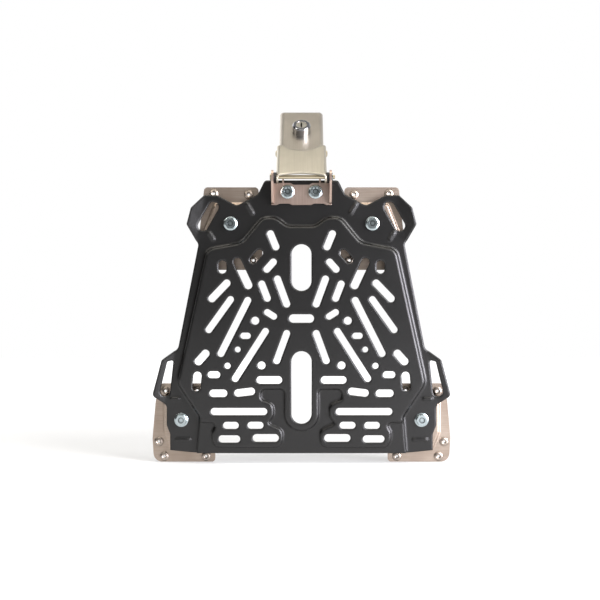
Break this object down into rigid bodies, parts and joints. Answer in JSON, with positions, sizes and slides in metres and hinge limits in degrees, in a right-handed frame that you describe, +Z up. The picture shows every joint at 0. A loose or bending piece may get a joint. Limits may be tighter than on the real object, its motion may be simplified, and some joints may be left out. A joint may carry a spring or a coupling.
{
  "type": "top case mounting plate",
  "caption": "Pressed black steel plate with a slotted raised panel that bolts a motorcycle top case to a rack, with riveted case brackets and a hinged locking hasp.",
  "frame": {"origin": "on the rack face of the raised panel, midway between the two rack slots", "axes": "+X to the right, +Z up towards the latch, -Y out towards the rack and +Y towards the case"},
  "size_m": [0.3026, 0.0848, 0.3635],
  "materials": {
    "black_coat": "satin black powder coat",
    "bracket_steel": "cold rolled stainless",
    "hasp_steel": "fine brushed stainless",
    "bolt_zinc": "bright zinc plate",
    "rivet_steel": "plain steel",
    "lock_chrome": "polished chrome plate",
    "lock_brass": "plain machined brass",
    "bush_nylon": "moulded nylon"
  },
  "bodies": {
    "plate": {"mounting_plate": "black_coat", "corner_bolts": "bolt_zinc", "corner_bushes": "bush_nylon", "corner_nuts": "bolt_zinc", "upper_left_bracket": "bracket_steel", "upper_right_bracket": "bracket_steel", "lower_left_bracket": "bracket_steel", "lower_right_bracket": "bracket_steel", "upper_left_rivets": "rivet_steel", "upper_right_rivets": "rivet_steel", "lower_left_rivets": "rivet_steel", "lower_right_rivets": "rivet_steel", "latch_base": "hasp_steel", "latch_base_bolts": "bolt_zinc", "latch_base_nuts": "bolt_zinc", "hinge_pin": "bolt_zinc", "hinge_clip": "bolt_zinc", "hinge_washers": "bush_nylon"},
    "hasp": {"hasp_sleeve": "hasp_steel", "lock_tongue": "hasp_steel", "tongue_rivet": "bolt_zinc", "lock_barrel": "lock_chrome", "lock_ring_nut": "lock_brass"},
    "key_plug": {"lock_plug": "lock_brass", "lock_cam": "bolt_zinc", "cam_screw": "bolt_zinc"}
  },
  "joints": [
    {"name": "hasp_swing", "type": "hinge", "parent": "plate", "child": "hasp", "pos_m": [0, -0.002, 0.2028], "axis": [1, 0, 0], "range_deg": [0, 110]},
    {"name": "key_turn", "type": "hinge", "parent": "hasp", "child": "key_plug", "pos_m": [0, 0.04403, 0.25449], "axis": [0, -0.7071, 0.7071], "range_deg": [0, 90]}
  ]
}
